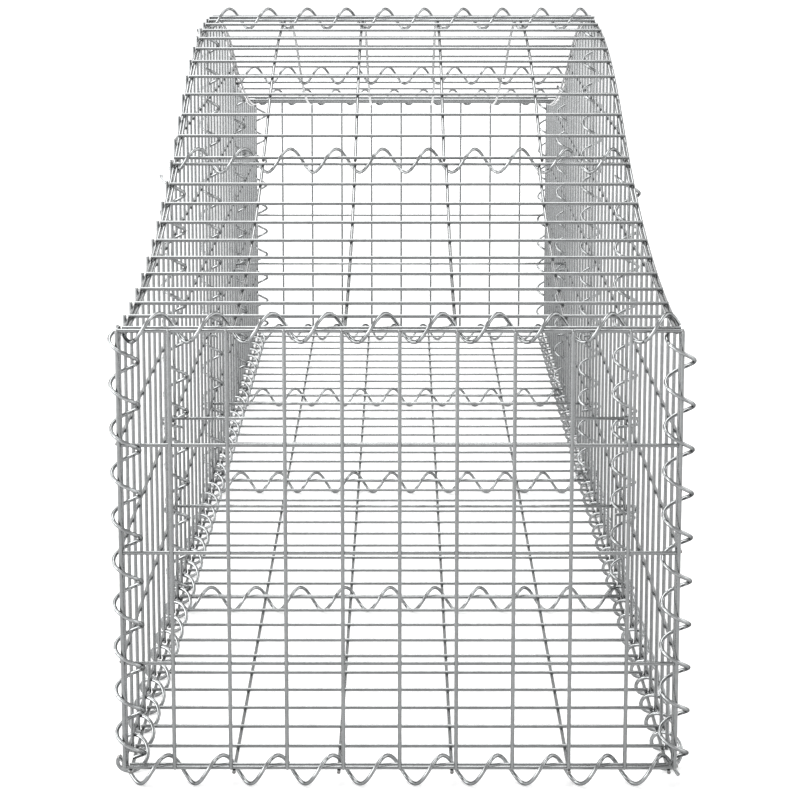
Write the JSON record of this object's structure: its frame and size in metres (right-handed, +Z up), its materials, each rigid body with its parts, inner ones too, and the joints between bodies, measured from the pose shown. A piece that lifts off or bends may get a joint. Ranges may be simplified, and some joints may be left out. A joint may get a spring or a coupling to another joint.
{
  "type": "arched gabion basket",
  "caption": "Long welded-mesh wire basket with a flat floor, upright walls and a roof mesh that rises in an arch, laced edge to edge with wire spirals, to be filled with stone.",
  "frame": {"origin": "on the ground, under the middle of the basket", "axes": "+X to the right across the basket, +Y along its length away from the front end, +Z up"},
  "size_m": [0.5184, 2.018, 0.6287],
  "materials": {
    "mesh_wire": "galvanised, satin",
    "spiral_wire": "galvanised, satin",
    "tie_wire": "galvanised, satin"
  },
  "bodies": {
    "root": {"front_end_panel": "mesh_wire", "back_end_panel": "mesh_wire", "floor_panel_1": "mesh_wire", "floor_panel_2": "mesh_wire", "floor_panel_3": "mesh_wire", "floor_panel_4": "mesh_wire", "left_side_panel_1": "mesh_wire", "left_side_panel_2": "mesh_wire", "left_side_panel_3": "mesh_wire", "left_side_panel_4": "mesh_wire", "right_side_panel_1": "mesh_wire", "right_side_panel_2": "mesh_wire", "right_side_panel_3": "mesh_wire", "right_side_panel_4": "mesh_wire", "roof_panel_1": "mesh_wire", "roof_panel_2": "mesh_wire", "roof_panel_3": "mesh_wire", "roof_panel_4": "mesh_wire", "front_bottom_spiral": "spiral_wire", "front_top_spiral": "spiral_wire", "back_bottom_spiral": "spiral_wire", "back_top_spiral": "spiral_wire", "front_left_corner_spiral": "spiral_wire", "front_right_corner_spiral": "spiral_wire", "back_left_corner_spiral": "spiral_wire", "back_right_corner_spiral": "spiral_wire", "left_floor_edge_spiral": "spiral_wire", "right_floor_edge_spiral": "spiral_wire", "floor_seam_spiral_1": "spiral_wire", "floor_seam_spiral_2": "spiral_wire", "floor_seam_spiral_3": "spiral_wire", "roof_seam_spiral_1": "spiral_wire", "roof_seam_spiral_2": "spiral_wire", "roof_seam_spiral_3": "spiral_wire", "left_side_seam_spiral_1": "spiral_wire", "left_side_seam_spiral_2": "spiral_wire", "left_side_seam_spiral_3": "spiral_wire", "right_side_seam_spiral_1": "spiral_wire", "right_side_seam_spiral_2": "spiral_wire", "right_side_seam_spiral_3": "spiral_wire", "tie_wire_1": "tie_wire", "tie_wire_2": "tie_wire", "tie_wire_3": "tie_wire"}
  },
  "joints": []
}
